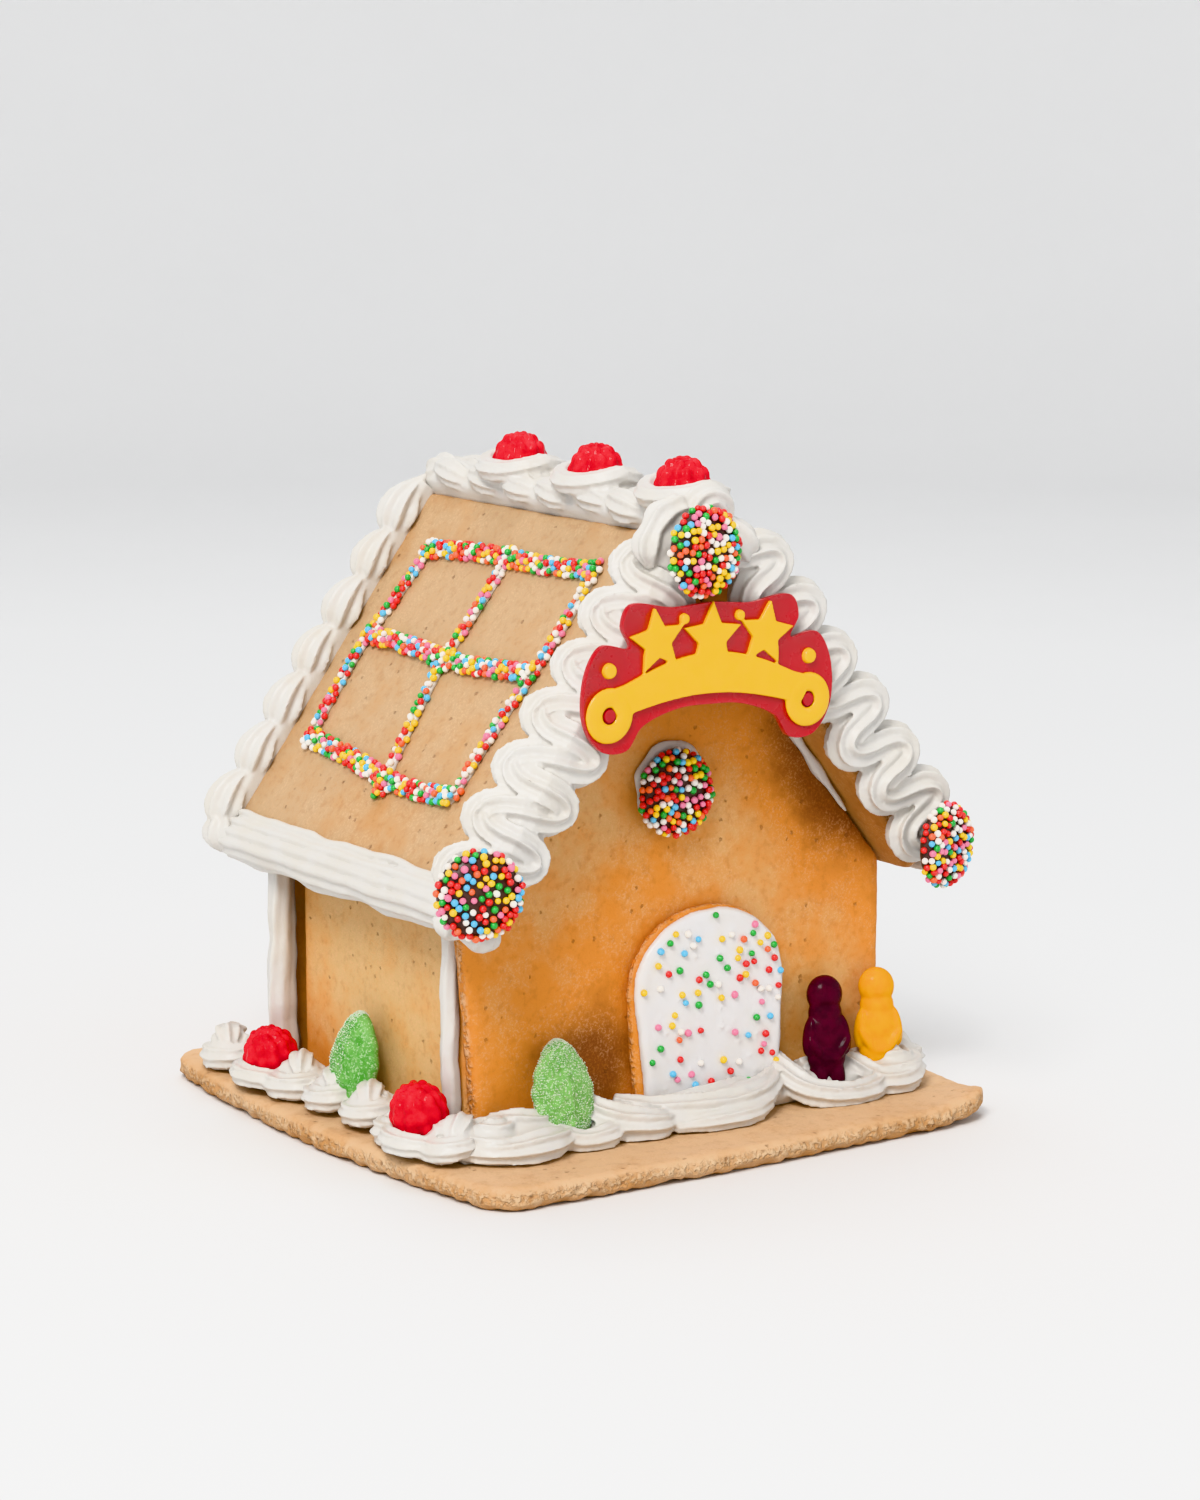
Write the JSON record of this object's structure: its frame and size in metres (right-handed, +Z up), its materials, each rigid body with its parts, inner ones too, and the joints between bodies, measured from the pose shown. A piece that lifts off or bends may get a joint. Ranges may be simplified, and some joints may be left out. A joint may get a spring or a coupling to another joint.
{
  "type": "gingerbread house",
  "caption": "Gingerbread house on a gingerbread board with piped white icing, sprinkle window lattices, sprinkle drops, jelly sweets, an arched door and a small gable sign.",
  "frame": {"origin": "middle of the board's flat underside, on the table", "axes": "+Z up through the ridge, -Y towards the front gable with the door, +X to the right of the door"},
  "size_m": [0.1898, 0.1864, 0.1929],
  "materials": {
    "gingerbread": "baked gingerbread, matt and finely pored",
    "wall": "baked gingerbread of a deeper brown, matt with a slight satin crust",
    "icing": "stiff white icing, satin",
    "door_icing": "flooded white icing with scattered sprinkles, smooth satin gloss",
    "sprinkles": "mixed red, orange, yellow, green, blue, pink and white sugar sprinkles",
    "chocolate_sprinkles": "dark chocolate drop covered in mixed sugar sprinkles",
    "red_jelly": "red jelly with a fine sugar coat",
    "green_jelly": "green jelly with a sugar coat",
    "purple_jelly": "dark purple jelly, starch-dusted satin",
    "yellow_jelly": "yellow jelly, starch-dusted satin",
    "red_plastic": "red moulded plastic",
    "yellow_plastic": "yellow raised print on moulded plastic"
  },
  "bodies": {
    "root": {"board": "gingerbread", "wall_front": "wall", "wall_back": "wall", "wall_left": "wall", "wall_right": "wall", "roof_left": "gingerbread", "roof_right": "gingerbread", "window_left": "sprinkles", "window_right": "sprinkles", "gable_icing_left": "icing", "gable_icing_right": "icing", "eave_icing_left": "icing", "eave_icing_right": "icing", "verge_icing_left": "icing", "verge_icing_right": "icing", "seam_icing_left": "icing", "seam_icing_right": "icing", "ridge_icing": "icing", "peak_icing": "icing", "ridge_berry_back": "red_jelly", "ridge_berry_middle": "red_jelly", "ridge_berry_front": "red_jelly", "door_biscuit": "gingerbread", "door_icing": "door_icing", "leaf_front": "green_jelly", "leaf_left": "green_jelly", "leaf_right": "green_jelly", "figure_purple": "purple_jelly", "figure_yellow": "yellow_jelly", "berry_left_back": "red_jelly", "berry_left_front": "red_jelly", "berry_right_back": "red_jelly", "berry_right_front": "red_jelly", "corner_icing_front_left": "icing", "corner_icing_front_right": "icing", "corner_icing_back_left": "icing", "corner_icing_back_right": "icing", "base_icing_left": "icing", "base_icing_right": "icing", "base_icing_front": "icing", "base_icing_back": "icing", "freckle_peak": "chocolate_sprinkles", "freckle_left": "chocolate_sprinkles", "freckle_right": "chocolate_sprinkles", "freckle_gable": "chocolate_sprinkles", "freckle_dab": "icing", "sign_plate": "red_plastic", "sign_motif": "yellow_plastic"}
  },
  "joints": []
}
